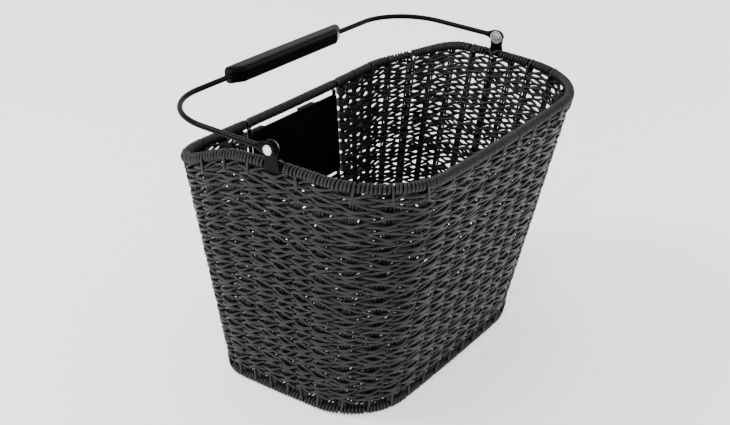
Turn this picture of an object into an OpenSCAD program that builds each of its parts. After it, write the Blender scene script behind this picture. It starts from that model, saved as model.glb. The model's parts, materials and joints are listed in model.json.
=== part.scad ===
// Handlebar basket: woven plastic cane on a welded wire frame, with a swinging handle and a
// clip-on coupling at the rear.
// X runs across the handlebar, +Y points to the rear (the handlebar side), +Z is up.
// The origin is on the ground, below the middle of the rim.

/* [Rim] */
// Half width of the rim, to the middle of its wire
rim_half_w = 175; // [165:1:190]
// Half depth of the rim, to the middle of its wire
rim_half_d = 117; // [110:1:125]
// Corner radius of the rim at the front
rim_front_r = 68; // [60:1:75]
// Corner radius of the rim at the rear
rim_rear_r = 48; // [42:1:55]
// Height of the rim at its short sides
rim_z = 251; // [235:1:265]
// How much lower the front of the rim is than its short sides
front_drop = 5.7; // [0:0.1:12]
// How much lower the rear of the rim is than its short sides
rear_drop = 24.7; // [10:0.1:30]
// Extra sag at the middle of the front and of the rear
middle_sag = 2.8; // [0:0.1:5]
// How far the front of the rim bows outward
rim_bow = 3.8; // [0:0.1:8]
// Widening of the rim towards the rear, as a share of its width
rim_flare = 0.028; // [0:0.001:0.04]

/* [Base] */
// Half width of the base, to the middle of its wire
base_half_w = 135.5; // [125:0.5:145]
// Half depth of the base, to the middle of its wire
base_half_d = 86.5; // [80:0.5:95]
// Corner radius of the base at the front
base_front_r = 51; // [45:1:60]
// Corner radius of the base at the rear
base_rear_r = 32; // [26:1:40]
// How far the base sits behind the middle of the rim
base_shift = 18.5; // [10:0.5:20]
// How far the front and the short sides of the base bow outward
base_bow = 2.7; // [0:0.1:5]

/* [Weave] */
// Outer radius of the cane wound round the two hoops
wrap_r = 4.7; // [4.2:0.1:5.5]
// Thickness of the cane layer on each side of the stakes
layer_t = 2.5; // [2:0.1:3]
// Thickness of the stakes
stake_t = 1.6; // [1.6:0.1:2.4]
// Width of a stake group
stake_w = 7; // [5:0.5:8]
// Bare height left between a wrapped hoop and the first woven row
bare_gap = 4; // [2:0.5:6]
// Height of the weave below the rear opening
rear_weave_top = 118; // [100:1:122]

/* [Frame] */
// Radius of the hoop wire
hoop_r = 2.5; // [2:0.1:3]
// Radius of the rear rods, the uprights and the cross wires
rod_r = 2; // [1.5:0.1:2]
// Half distance between the two rear rods
rod_x = 66; // [62:1:68]

/* [Coupling] */
// Half width of the inner plate
plate_half_w = 64.5; // [58:0.5:64.5]
// Lower and upper edge of the inner plate, measured up the rear wall
plate_low = 128.5; // [126:0.5:132]
plate_high = 210.5; // [206:0.5:212]
// Half distance between the bolts, across and along the rear wall
bolt_dx = 44; // [36:1:46]
bolt_dz = 28; // [24:1:30]
// Radius of the bolts
bolt_r = 2.5; // [2:0.5:3]
// Centre and half width of each coupling hook
hook_x = 39.5; // [34:0.5:40]
hook_half_w = 11.5; // [8:0.5:12]
// Opening of each hook, from the coupling's face to the lip
hook_gap = 7; // [6:0.5:9]

/* [Handle] */
// Height of the rivets above the rim at the short sides
pivot_rise = 15.8; // [14:0.1:18]
// Place of the rivets along the depth
pivot_y = -5.4; // [-8:0.1:0]
// Angle of the stored handle above level, leaning to the rear
handle_angle = 2.9; // [0:0.1:20]
// Reach of the handle, from the rivets to the middle of the grip
handle_reach = 127.5; // [122:0.5:132]
// Bend radius of the handle's corners
handle_bend_r = 56; // [45:1:60]
// Radius of the handle rod
handle_rod_r = 2.5; // [2:0.1:2.8]
// Length of the grip
grip_l = 164; // [120:1:180]
// Size of the grip in the handle's plane and across it
grip_w = 17; // [15:0.5:20]
grip_t = 16; // [14:0.5:18]

/* [Hidden] */

CANE = [0.13, 0.13, 0.14];
BLACK_STEEL = [0.05, 0.05, 0.055];
BLACK_PLASTIC = [0.04, 0.04, 0.045];
BRIGHT_STEEL = [0.75, 0.75, 0.77];

round_fn = 48;
hoop_sides = 8;
wrap_sides = 12;
hoop_steps = 8;
weave_steps = 12;
wall_rows = 4;
base_z = wrap_r;
touch = 0.05;
// Clearance of the flat stakes and the round hoops from the faceted cane round them
cane_gap = 0.45;
hoop_gap = 0.15;
wrap_bore = (hoop_r + hoop_gap) / cos(180 / wrap_sides);
// Panels stop short of the uprights, and the base wrap's halves of each other, by a share of a part
upright_gap = 0.05;
base_wrap_gap = 0.01;

// The two outlines are walked counter-clockwise in eight parts, numbered from 0: front,
// front right corner, right, rear right corner, rear, rear left corner, left, front left corner.
PARTS = 8;
REAR_MIDDLE = 4.5;
wall_step = 0.02;
// The rim falls to the rear between these two places along the depth
rear_fall_start = 28;
rear_fall_end = 120;
// Uprights in the right corners; the left ones mirror them
FRONT_UPRIGHT = 1.46;
REAR_UPRIGHT = 3.33;
// The column that stands upright beside the right rear rod
GROUP_PLACE = 4.3;
// Distance between the front stakes, as a share of the front
front_stake_step = 0.132;

// The bracket, its washers and the handle's flattened ends, stacked outward from the hoop
bracket_x = rim_half_w + hoop_r + hoop_gap;
bracket_t = 2;
bracket_r = 7.2;
bracket_foot_half_w = 8.5;
bracket_foot_drop = 20;
wrap_break = 9.5;
friction_washer_x = bracket_x + bracket_t;
friction_washer_t = 0.8;
eyelet_x = friction_washer_x + friction_washer_t + touch;
eyelet_t = 2.8;
eyelet_r = 6.2;
neck_l = 14;
neck_inset = 1.5;
rivet_head_x = eyelet_x + eyelet_t + touch;
rivet_head_r = 4.3;
rivet_head_h = 1.8;
rivet_rim_share = 0.45;
rivet_shank_r = 3;
rivet_fit = 0.08;
rivet_washer_r = 6.5;
rivet_washer_t = 1;
rivet_tail_r = 3.7;
rivet_tail_h = 1.1;
handle_leg_x = eyelet_x + eyelet_t / 2;
pivot_z = rim_z + pivot_rise;

// The rear wall's frame: its foot on the base hoop and its lean
rear_foot_y = base_shift + base_half_d;
rear_top_z = rim_z - rear_drop - middle_sag;
rear_lean = atan((rim_half_d - rear_foot_y) / (rear_top_z - base_z));
rear_height = (rear_top_z - base_z) / cos(rear_lean);
panel_edge_x = rod_x + rod_r + 5;
edge_stake_x = rod_x + 11;
group_x = (rod_x + edge_stake_x) / 2;
lower_edge_x = rod_x - rod_r - 1;
wire_end_gap = 0.8;
plate_t = 2.5;
plate_corner_r = 4;
coupling_t = 6;
coupling_corner_r = 6;
coupling_half_w = 54;
coupling_margin = 5;
coupling_y = rod_r + touch;
plate_y = -rod_r - touch - plate_t;
bolt_rise = 1.5;
plate_middle = (plate_low + plate_high) / 2 + bolt_rise;
cross_wire_offset = 15;
hook_t = 3.5;
hook_drop = 16;
hook_below_plate_top = 8;
keeper_half_w = 14;
keeper_h = 8;
keeper_depth = 6;
bolt_head_r = 4.75;
bolt_head_h = 2.75;
bolt_clearance = 0.2;
bolt_tip_depth = 0.5;
nut_r = 4.6;
nut_t = 4;
nut_pocket_fit = 0.15;
washer_r = 5.5;
washer_t = 1;
grip_edge_r = 4;
grip_end_cut = [13, 5];
grip_outer_cut = 2;
floor_t = 5;

function mix(a, b, t) = a + (b - a) * t;
function smooth(t) = let (u = max(0, min(1, t))) u * u * (3 - 2 * u);
function unit(v) = v / norm(v);

// Rounded outline with half sizes w and d and corner radii rf (front) and rr (rear)
function outline(s, w, d, rf, rr) =
    let (k = floor(s) % PARTS, t = s - floor(s), side = 2 * d - rf - rr)
    k == 0 ? [(w - rf) * (2 * t - 1), -d] :
    k == 1 ? [w - rf + rf * sin(90 * t), -d + rf - rf * cos(90 * t)] :
    k == 2 ? [w, -d + rf + side * t] :
    k == 3 ? [w - rr + rr * cos(90 * t), d - rr + rr * sin(90 * t)] :
    k == 4 ? [(w - rr) * (1 - 2 * t), d] :
    k == 5 ? [-w + rr - rr * sin(90 * t), d - rr + rr * cos(90 * t)] :
    k == 6 ? [-w, d - rr - side * t] :
             [-w + rf - rf * cos(90 * t), -d + rf - rf * sin(90 * t)];

// Bows fade in over the outer half of the outline
function bow(share, other) = (1 - other * other) * max(0, min(1, 2 * abs(share) - 1));

function rim_at(s) =
    let (p = outline(s, rim_half_w, rim_half_d, rim_front_r, rim_rear_r),
         u = p[0] / rim_half_w,
         v = p[1] / rim_half_d,
         sag = middle_sag * (1 - u * u) * pow(v, 4),
         drop = p[1] < 0 ? front_drop * smooth(-p[1] / rim_half_d)
                         : rear_drop * smooth((p[1] - rear_fall_start) / (rear_fall_end - rear_fall_start)))
    [p[0] * (1 + rim_flare * v), p[1] - (v < 0 ? rim_bow * bow(v, u) : 0), rim_z - drop - sag];

function base_at(s) =
    let (p = outline(s, base_half_w, base_half_d, base_front_r, base_rear_r),
         u = p[0] / base_half_w,
         v = p[1] / base_half_d)
    [p[0] + sign(p[0]) * base_bow * bow(u, v),
     p[1] + base_shift - (v < 0 ? base_bow * bow(v, u) : 0),
     base_z];

// Point of the wall between the base outline at sb and the rim outline at st; h runs 0 to 1 up
// the wall, and out is the distance outside its middle
function wall_at(sb, st, h, out) =
    let (ahead = mix(base_at(sb + wall_step), rim_at(st + wall_step), h),
         behind = mix(base_at(sb - wall_step + PARTS), rim_at(st - wall_step + PARTS), h),
         along = ahead - behind)
    mix(base_at(sb), rim_at(st), h) + out * unit([along[1], -along[0], 0]);

// Share of the wall's height that a height in mm is, above the base wire
function share(st, mm) = mm / (rim_at(st)[2] - base_z);

function side_right(y) = 2 + (y + rim_half_d - rim_front_r) / (2 * rim_half_d - rim_front_r - rim_rear_r);
function mirrored(v) = (2 * REAR_MIDDLE - v) % PARTS;
function rear_s(x, w, r) = REAR_MIDDLE - x / (w - r) / 2;
function rear_rim_s(x) = rear_s(x / (1 + rim_flare), rim_half_w, rim_rear_r);
function rear_base_s(x) = rear_s(x, base_half_w, base_rear_r);

// A column of the wall is its place on the base and its place on the rim. The two are the same
// but on the rear wall, where the columns turn until they stand upright beside the rods
function rear_offset(v, w, r) =
    let (group = group_x / (w - r) / 2,
         from_middle = abs(v - REAR_MIDDLE),
         at_group = REAR_MIDDLE - GROUP_PLACE)
    from_middle < at_group ? group * from_middle / at_group :
                             mix(group, 0.5, (from_middle - at_group) / (0.5 - at_group));
function column(v) =
    abs(v - REAR_MIDDLE) >= 0.5 ? [v, v] :
    [for (o = [rear_offset(v, base_half_w, base_rear_r),
               rear_offset(v, (1 + rim_flare) * rim_half_w, (1 + rim_flare) * rim_rear_r)])
        REAR_MIDDLE + sign(v - REAR_MIDDLE) * o];
function rear_column(x) = [rear_base_s(x), rear_rim_s(x)];

SIDE_UPRIGHT = side_right(pivot_y);
UPRIGHTS = [FRONT_UPRIGHT, SIDE_UPRIGHT, REAR_UPRIGHT];
// Places of the stakes on the right half of the front, of the side and of the rear. The edge
// stakes of the opening stand apart from these.
FRONT_STAKES = concat([for (i = [0 : 3]) 0.5 + front_stake_step * (i + 0.5)],
                      [FRONT_UPRIGHT - 0.27, FRONT_UPRIGHT + 0.27]);
SIDE_STAKES = [2, mix(2, SIDE_UPRIGHT, 1 / 2), mix(SIDE_UPRIGHT, 3, 1 / 3),
               mix(SIDE_UPRIGHT, 3, 2 / 3), 3];
REAR_STAKES = [mix(REAR_UPRIGHT, 4, 1 / 2), 4, mix(4, GROUP_PLACE, 1 / 2)];
LOWER_STAKES = [mix(GROUP_PLACE, REAR_MIDDLE, 0.4), mix(GROUP_PLACE, REAR_MIDDLE, 0.8)];

// Joins loops of equal length into one closed solid; a closed run joins its last loop to its first.
// The ends of an open run are strips across the loop, from its first half to its second
module loft(loops, closed = false) {
    n = len(loops);
    m = len(loops[0]);
    last = closed ? n - 1 : n - 2;
    sides = [for (i = [0 : last]) for (j = [0 : m - 1])
        let (a = i * m, b = ((i + 1) % n) * m, k = (j + 1) % m)
        each [[a + j, b + j, b + k], [a + j, b + k, a + k]]];
    caps = closed ? [] : [for (j = [0 : m / 2 - 2])
        let (strip = [j, j + 1, m - 2 - j, m - 1 - j])
        each [strip, [for (i = [3 : -1 : 0]) (n - 1) * m + strip[i]]]];
    polyhedron(points = [for (l = loops) each l], faces = concat(sides, caps), convexity = 6);
}

// Circle of points round a path point, square to the path
function ring(path, i, r, sides, closed) =
    let (n = len(path),
         a = path[closed ? (i + n - 1) % n : max(i - 1, 0)],
         b = path[closed ? (i + 1) % n : min(i + 1, n - 1)],
         along = unit(b - a),
         side = unit(cross([0, 0, 1], along)),
         up = cross(along, side))
    [for (j = [0 : sides - 1])
        path[i] + r * (cos(360 * j / sides) * side + sin(360 * j / sides) * up)];

module wire(path, r, sides) {
    loft([for (i = [0 : len(path) - 1]) ring(path, i, r, sides, true)], true);
}

// Hollow tube round an open path, with flat ring ends
module sleeve(path, r_out, r_in, sides) {
    n = len(path);
    span = 2 * sides;
    points = [for (i = [0 : n - 1])
        each concat(ring(path, i, r_out, sides, false), ring(path, i, r_in, sides, false))];
    skin = [for (i = [0 : n - 2]) for (j = [0 : sides - 1])
        let (a = i * span, b = a + span, k = (j + 1) % sides)
        each [[a + j, b + j, b + k], [a + j, b + k, a + k],
              [a + sides + j, b + sides + k, b + sides + j],
              [a + sides + j, a + sides + k, b + sides + k]]];
    ends = [for (j = [0 : sides - 1])
        let (k = (j + 1) % sides, z = (n - 1) * span)
        each [[j, k, sides + k], [j, sides + k, sides + j],
              [z + k, z + j, z + sides + j], [z + k, z + sides + j, z + sides + k]]];
    polyhedron(points = points, faces = concat(skin, ends), convexity = 8);
}

// Places from a to b: both ends, and the whole n-ths of a part between them
function steps(a, b, n) =
    concat([a], [for (i = [ceil(a * n + 0.2) : floor(b * n - 0.2)]) i / n], [b]);
CLOSED_STEPS = [for (i = [0 : PARTS * hoop_steps - 1]) i / hoop_steps];

// Columns of a woven panel from a to b
function panel_columns(a, b) = [for (v = steps(a, b, weave_steps)) column(v)];

// One layer of a woven panel; top is its height in mm, or 0 for the whole wall
module woven_layer(columns, out, top) {
    loft([for (c = columns)
        let (low = share(c[1], wrap_r + bare_gap / 2),
             high = top > 0 ? share(c[1], top) : 1 - share(c[1], wrap_r + bare_gap))
        [for (side = [1, 0]) for (i = [0 : wall_rows])
            let (rise = side > 0 ? i : wall_rows - i)
            wall_at(c[0], c[1], mix(low, high, rise / wall_rows), out + side * layer_t)]]);
}

// A woven panel is a layer of cane outside the stakes and one inside
module woven_panel(columns, top = 0) {
    color(CANE)
        for (out = [stake_t / 2 + cane_gap, -stake_t / 2 - cane_gap - layer_t])
            woven_layer(columns, out, top);
}

// How far below the rim's wire an upright thing of this width must end, to clear the sloping wrap
function head_gap(s, clearance, width) =
    let (d = rim_at(s + wall_step) - rim_at(s - wall_step + PARTS),
         slope = abs(d[2]) / norm([d[0], d[1]]))
    (wrap_r + clearance) * sqrt(1 + slope * slope) + width / 2 * slope;

// One stake in a column; top is its height in mm, or 0 for the whole wall
module stake(c, top = 0) {
    low = share(c[1], wrap_r + cane_gap);
    high = top > 0 ? share(c[1], top) : 1 - share(c[1], head_gap(c[1], cane_gap, stake_w));
    loft([for (h = [low, high])
        let (out = wall_at(c[0], c[1], h, stake_t / 2),
             in = wall_at(c[0], c[1], h, -stake_t / 2),
             across = stake_w / 2 * unit(cross([0, 0, 1], out - in)))
        [out - across, in - across, in + across, out + across]]);
}

// Stakes at these places and at the same places on the left
module both_sides(places, top = 0) {
    for (v = places) {
        stake(column(v), top);
        stake(column(mirrored(v)), top);
    }
}

// Straight round bar between two points
module bar(a, b, r) {
    d = b - a;
    translate(a)
        rotate([0, acos(d[2] / norm(d)), atan2(d[1], d[0])])
            cylinder(h = norm(d), r = r, $fn = round_fn);
}

// An upright fills the wall's height between the two wraps
module upright(s) {
    foot = base_at(s);
    head = rim_at(s);
    run = unit(head - foot);
    bar(foot + (wrap_r + wire_end_gap) * run, head - head_gap(s, wire_end_gap, 2 * rod_r) * run, rod_r);
}

// Rounded rectangle in the XY plane, built so that its corners stay true arcs
module rounded_plate(w, d, r) {
    square([w - 2 * r, d], center = true);
    square([w, d - 2 * r], center = true);
    for (x = [-1, 1]) for (y = [-1, 1])
        translate([x * (w / 2 - r), y * (d / 2 - r)]) circle(r = r, $fn = round_fn);
}

// Frame of the rear wall: X across, Z up the wall, Y out of the wall's rear
module on_rear_wall() {
    translate([0, rear_foot_y, base_z]) rotate([-rear_lean, 0, 0]) children();
}

// Turns a flat shape drawn in XY to stand in XZ, its thickness t running along +Y from y
module standing(y, t) {
    translate([0, y + t, 0]) rotate([90, 0, 0]) linear_extrude(height = t) children();
}

module at_bolts() {
    for (x = [-bolt_dx, bolt_dx]) for (z = [-bolt_dz, bolt_dz])
        translate([x, 0, plate_middle + z]) children();
}

// Cylinder along +Y from y
module along_y(y, l, r, fn = round_fn) {
    translate([0, y, 0]) rotate([-90, 0, 0]) cylinder(h = l, r = r, $fn = fn);
}

// Frame of the rivets: X outward on the right side, origin on the pivot line
module at_pivot(side) {
    translate([0, pivot_y, pivot_z]) mirror([side < 0 ? 1 : 0, 0, 0]) children();
}

// Disc along +X from x, with an optional bore
module disc(x, t, r, bore = 0) {
    difference() {
        translate([x, 0, 0]) rotate([0, 90, 0]) cylinder(h = t, r = r, $fn = round_fn);
        if (bore > 0)
            translate([x - 1, 0, 0]) rotate([0, 90, 0]) cylinder(h = t + 2, r = bore, $fn = round_fn);
    }
}

// Frame of the handle: X across, Y from the pivots to the grip, in the stored pose
module in_handle() {
    translate([0, pivot_y, pivot_z]) rotate([handle_angle, 0, 0]) children();
}

// ---- wire frame ----

module top_rim_hoop() {
    color(BLACK_STEEL) wire([for (s = CLOSED_STEPS) rim_at(s)], hoop_r, hoop_sides);
}

module base_rim_hoop() {
    color(BLACK_STEEL) wire([for (s = CLOSED_STEPS) base_at(s)], hoop_r, hoop_sides);
}

module frame_uprights() {
    color(BLACK_STEEL) {
        for (v = UPRIGHTS) {
            upright(v);
            upright(mirrored(v));
        }
    }
}

module rear_rod(side) {
    gap = wrap_r + wire_end_gap;
    color(BLACK_STEEL)
        on_rear_wall()
            translate([side * rod_x, 0, gap])
                cylinder(h = rear_height - 2 * gap, r = rod_r, $fn = round_fn);
}

module rear_rod_left() { rear_rod(-1); }
module rear_rod_right() { rear_rod(1); }

// Three wires between the rear rods: two carry the coupling, one edges the weave below it
module cross_wires() {
    run = rod_x - rod_r;
    heights = [rear_weave_top + rod_r + 1, plate_middle - cross_wire_offset,
               plate_middle + cross_wire_offset];
    color(BLACK_STEEL)
        on_rear_wall()
            for (z = heights)
                translate([-run, 0, z]) rotate([0, 90, 0]) cylinder(h = 2 * run, r = rod_r, $fn = round_fn);
}

// ---- cane ----

module top_wrap(a, b) {
    color(CANE) sleeve([for (s = steps(a, b, hoop_steps)) rim_at(s)], wrap_r, wrap_bore, wrap_sides);
}

module top_wrap_front() {
    place = side_right(pivot_y - wrap_break);
    top_wrap(mirrored(place), place + PARTS);
}

module top_wrap_rear() {
    place = side_right(pivot_y + wrap_break);
    top_wrap(place, mirrored(place));
}

module base_wrap(a, b) {
    path = [for (s = steps(a + base_wrap_gap, b - base_wrap_gap, hoop_steps)) base_at(s)];
    color(CANE) sleeve(path, wrap_r, wrap_bore, wrap_sides);
}

module base_wrap_front() { base_wrap(6.5, 10.5); }
module base_wrap_rear() { base_wrap(2.5, 6.5); }

module stakes_front() { color(CANE) both_sides(FRONT_STAKES); }
module stakes_left() { color(CANE) for (v = SIDE_STAKES) stake(column(mirrored(v))); }
module stakes_right() { color(CANE) for (v = SIDE_STAKES) stake(column(v)); }

module stakes_rear() {
    color(CANE) {
        both_sides(REAR_STAKES);
        both_sides(LOWER_STAKES, rear_weave_top);
        for (x = [-edge_stake_x, edge_stake_x]) stake(rear_column(x));
    }
}

// Panel between two uprights
module side_panel(a, b) {
    woven_panel(panel_columns(a + upright_gap, b - upright_gap));
}

module weave_front() { side_panel(mirrored(FRONT_UPRIGHT), FRONT_UPRIGHT + PARTS); }
module weave_left_front() { side_panel(mirrored(SIDE_UPRIGHT), mirrored(FRONT_UPRIGHT)); }
module weave_left_rear() { side_panel(mirrored(REAR_UPRIGHT), mirrored(SIDE_UPRIGHT)); }
module weave_right_front() { side_panel(FRONT_UPRIGHT, SIDE_UPRIGHT); }
module weave_right_rear() { side_panel(SIDE_UPRIGHT, REAR_UPRIGHT); }

module weave_rear_left() {
    woven_panel(concat([rear_column(-panel_edge_x)],
                       panel_columns(mirrored(4), mirrored(REAR_UPRIGHT) - upright_gap)));
}

module weave_rear_right() {
    woven_panel(concat(panel_columns(REAR_UPRIGHT + upright_gap, 4), [rear_column(panel_edge_x)]));
}

module weave_rear_lower() {
    woven_panel([for (x = [lower_edge_x, 0, -lower_edge_x]) rear_column(x)], rear_weave_top);
}

// The floor lies inside the base wrap, flush with the ground
module floor_weave() {
    inset = wrap_r + 0.4;
    color(CANE)
        linear_extrude(height = floor_t)
            polygon([for (s = CLOSED_STEPS)
                let (p = wall_at(s, s, 0, -inset)) [p[0], p[1]]]);
}

// ---- coupling ----

module inner_plate() {
    color(BLACK_STEEL)
        on_rear_wall()
            difference() {
                translate([0, 0, (plate_low + plate_high) / 2])
                    standing(plate_y, plate_t)
                        rounded_plate(2 * plate_half_w, plate_high - plate_low, plate_corner_r);
                at_bolts() along_y(plate_y - 1, plate_t + 2, bolt_r + bolt_clearance);
            }
}

module hook(side) {
    top = plate_high - hook_below_plate_top;
    reach = coupling_t + hook_gap + hook_t;
    x = side * hook_x - hook_half_w;
    translate([x, coupling_y, top - hook_t]) cube([2 * hook_half_w, reach, hook_t]);
    translate([x, coupling_y + reach - hook_t, top - hook_drop]) cube([2 * hook_half_w, hook_t, hook_drop]);
    translate([x, coupling_y, top - hook_drop]) cube([2 * hook_half_w, coupling_t, hook_drop]);
}

// Moulded coupling half: two hooks above, a latch keeper below, and nut pockets in its front
module outer_coupling() {
    low = plate_low + coupling_margin;
    high = plate_high - coupling_margin;
    color(BLACK_PLASTIC)
        on_rear_wall()
            difference() {
                union() {
                    translate([0, 0, (low + high) / 2])
                        standing(coupling_y, coupling_t)
                            rounded_plate(2 * coupling_half_w, high - low, coupling_corner_r);
                    for (side = [-1, 1]) hook(side);
                    translate([-keeper_half_w, coupling_y + coupling_t - 1, low])
                        cube([2 * keeper_half_w, keeper_depth + 1, keeper_h]);
                }
                at_bolts() {
                    along_y(coupling_y - 1, coupling_t + 2, bolt_r + bolt_clearance);
                    along_y(coupling_y - 1, nut_t + nut_pocket_fit + 1, nut_r + nut_pocket_fit, 6);
                }
            }
}

module coupling_bolts() {
    head_y = plate_y - washer_t;
    tip_y = coupling_y + coupling_t - bolt_tip_depth;
    color(BLACK_STEEL)
        on_rear_wall()
            at_bolts() {
                along_y(head_y - bolt_head_h, bolt_head_h, bolt_head_r);
                along_y(head_y, tip_y - head_y, bolt_r);
            }
}

module coupling_washers() {
    color(BRIGHT_STEEL)
        on_rear_wall()
            at_bolts()
                difference() {
                    along_y(plate_y - washer_t, washer_t, washer_r);
                    along_y(plate_y - washer_t - 1, washer_t + 2, bolt_r + bolt_clearance);
                }
}

module coupling_nuts() {
    color(BRIGHT_STEEL)
        on_rear_wall()
            at_bolts()
                difference() {
                    along_y(coupling_y + touch, nut_t, nut_r, 6);
                    along_y(coupling_y - 1, nut_t + 2, bolt_r + touch);
                }
}

// ---- handle ----

// Steel tab on the outside of the hoop, round at the top and wider at its foot
module bracket(side) {
    color(BLACK_STEEL)
        at_pivot(side)
            difference() {
                union() {
                    disc(bracket_x, bracket_t, bracket_r);
                    translate([bracket_x, 0, 0])
                        rotate([90, 0, 90])
                            linear_extrude(height = bracket_t)
                                polygon([[-bracket_r, 0], [bracket_r, 0],
                                         [bracket_r - 1, -pivot_rise / 2],
                                         [bracket_foot_half_w, -bracket_foot_drop],
                                         [-bracket_foot_half_w, -bracket_foot_drop],
                                         [-bracket_r + 1, -pivot_rise / 2]]);
                }
                disc(bracket_x - 1, bracket_t + 2, rivet_shank_r + touch);
            }
}

module bracket_left() { bracket(-1); }
module bracket_right() { bracket(1); }

// Rivet turned about X: tail inside the bracket, shank, and a low domed head outside
module pivot_rivet(side) {
    tail_x = bracket_x - rivet_washer_t - rivet_tail_h;
    dome = [for (a = [0 : 10 : 90])
        [rivet_head_r * cos(a), rivet_head_x + rivet_head_h * mix(rivet_rim_share, 1, sin(a))]];
    color(BRIGHT_STEEL)
        at_pivot(side)
            rotate([0, 90, 0])
                rotate_extrude($fn = round_fn)
                    polygon(concat([[0, tail_x], [rivet_tail_r, tail_x],
                                    [rivet_tail_r, tail_x + rivet_tail_h],
                                    [rivet_shank_r, tail_x + rivet_tail_h],
                                    [rivet_shank_r, rivet_head_x], [rivet_head_r, rivet_head_x]],
                                   dome));
}

module pivot_rivet_left() { pivot_rivet(-1); }
module pivot_rivet_right() { pivot_rivet(1); }

module rivet_washer(side) {
    color(BRIGHT_STEEL)
        at_pivot(side)
            disc(bracket_x - rivet_washer_t, rivet_washer_t, rivet_washer_r, rivet_shank_r + touch);
}

module rivet_washer_left() { rivet_washer(-1); }
module rivet_washer_right() { rivet_washer(1); }

module friction_washer(side) {
    color(BLACK_PLASTIC)
        at_pivot(side)
            disc(friction_washer_x, friction_washer_t, eyelet_r, rivet_shank_r + touch);
}

module friction_washer_left() { friction_washer(-1); }
module friction_washer_right() { friction_washer(1); }

// Right half of the rod: flattened eyelet and neck, straight leg, bend, and half of the top
module handle_half() {
    leg_end = handle_reach - handle_bend_r;
    difference() {
        union() {
            disc(eyelet_x, eyelet_t, eyelet_r);
            translate([eyelet_x, 0, 0])
                rotate([90, 0, 90])
                    linear_extrude(height = eyelet_t)
                        polygon([[0, neck_inset - eyelet_r], [neck_l, -handle_rod_r],
                                 [neck_l, handle_rod_r], [0, eyelet_r - neck_inset]]);
            translate([handle_leg_x, 0, 0]) along_y(neck_l - 2, leg_end - neck_l + 2, handle_rod_r);
        }
        disc(eyelet_x - 1, eyelet_t + 2, rivet_shank_r + rivet_fit);
    }
    translate([handle_leg_x - handle_bend_r, leg_end, 0])
        rotate_extrude(angle = 90, $fn = 2 * round_fn)
            translate([handle_bend_r, 0]) circle(r = handle_rod_r, $fn = round_fn);
    translate([0, handle_reach, 0])
        rotate([0, 90, 0])
            cylinder(h = handle_leg_x - handle_bend_r, r = handle_rod_r, $fn = round_fn);
}

module handle_rod() {
    color(BLACK_STEEL)
        in_handle() {
            handle_half();
            mirror([1, 0, 0]) handle_half();
        }
}

// Moulded grip: rounded bar whose side towards the basket is cut back at both ends
module grip() {
    x = grip_l / 2;
    y = grip_w / 2;
    cut = grip_end_cut;
    out_cut = grip_outer_cut;
    color(BLACK_PLASTIC)
        in_handle()
            translate([0, handle_reach, 0])
                difference() {
                    intersection() {
                        rotate([90, 0, 90])
                            translate([0, 0, -x])
                                linear_extrude(height = grip_l) rounded_plate(grip_w, grip_t, grip_edge_r);
                        translate([0, 0, -grip_t])
                            linear_extrude(height = 2 * grip_t)
                                polygon([[-x, -y + cut[1]], [-x + cut[0], -y], [x - cut[0], -y],
                                         [x, -y + cut[1]], [x, y - out_cut], [x - out_cut, y],
                                         [-x + out_cut, y], [-x, y - out_cut]]);
                    }
                    translate([-x - 1, 0, 0])
                        rotate([0, 90, 0])
                            cylinder(h = grip_l + 2, r = handle_rod_r + touch, $fn = round_fn);
                }
}

top_rim_hoop();
base_rim_hoop();
frame_uprights();
rear_rod_left();
rear_rod_right();
cross_wires();
top_wrap_front();
top_wrap_rear();
base_wrap_front();
base_wrap_rear();
stakes_front();
stakes_left();
stakes_right();
stakes_rear();
weave_front();
weave_left_front();
weave_left_rear();
weave_right_front();
weave_right_rear();
weave_rear_left();
weave_rear_right();
weave_rear_lower();
floor_weave();
inner_plate();
outer_coupling();
coupling_bolts();
coupling_washers();
coupling_nuts();
bracket_left();
bracket_right();
pivot_rivet_left();
pivot_rivet_right();
rivet_washer_left();
rivet_washer_right();
friction_washer_left();
friction_washer_right();
handle_rod();
grip();
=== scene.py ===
# Looks of the handlebar basket: woven cane walls, wrapped rims, steel frame, coupling and handle.
# Sizes are in millimetres, as in the CAD model, and turned into metres when a piece is made.
# X runs across the handlebar, +Y points to the rear, +Z is up.
import json
import math

import bmesh
import bpy
import numpy as np
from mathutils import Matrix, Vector


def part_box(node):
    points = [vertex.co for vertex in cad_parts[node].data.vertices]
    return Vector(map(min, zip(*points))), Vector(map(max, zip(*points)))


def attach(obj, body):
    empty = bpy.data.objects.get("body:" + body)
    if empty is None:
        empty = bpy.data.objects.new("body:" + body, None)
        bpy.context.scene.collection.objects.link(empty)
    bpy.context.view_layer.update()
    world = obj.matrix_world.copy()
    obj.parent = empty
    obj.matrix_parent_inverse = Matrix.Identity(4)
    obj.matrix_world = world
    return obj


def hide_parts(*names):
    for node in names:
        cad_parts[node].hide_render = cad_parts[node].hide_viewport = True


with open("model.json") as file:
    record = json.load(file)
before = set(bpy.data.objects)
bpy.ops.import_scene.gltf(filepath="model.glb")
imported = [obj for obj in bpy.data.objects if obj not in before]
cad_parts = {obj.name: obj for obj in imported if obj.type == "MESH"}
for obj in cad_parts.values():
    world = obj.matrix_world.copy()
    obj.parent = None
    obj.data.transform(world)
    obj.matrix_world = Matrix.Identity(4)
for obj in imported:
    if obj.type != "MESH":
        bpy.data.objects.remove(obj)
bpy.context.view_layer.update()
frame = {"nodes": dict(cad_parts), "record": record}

MM = 0.001
HINGE = frame["record"]["behaviour"]["joints"][0]

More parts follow.
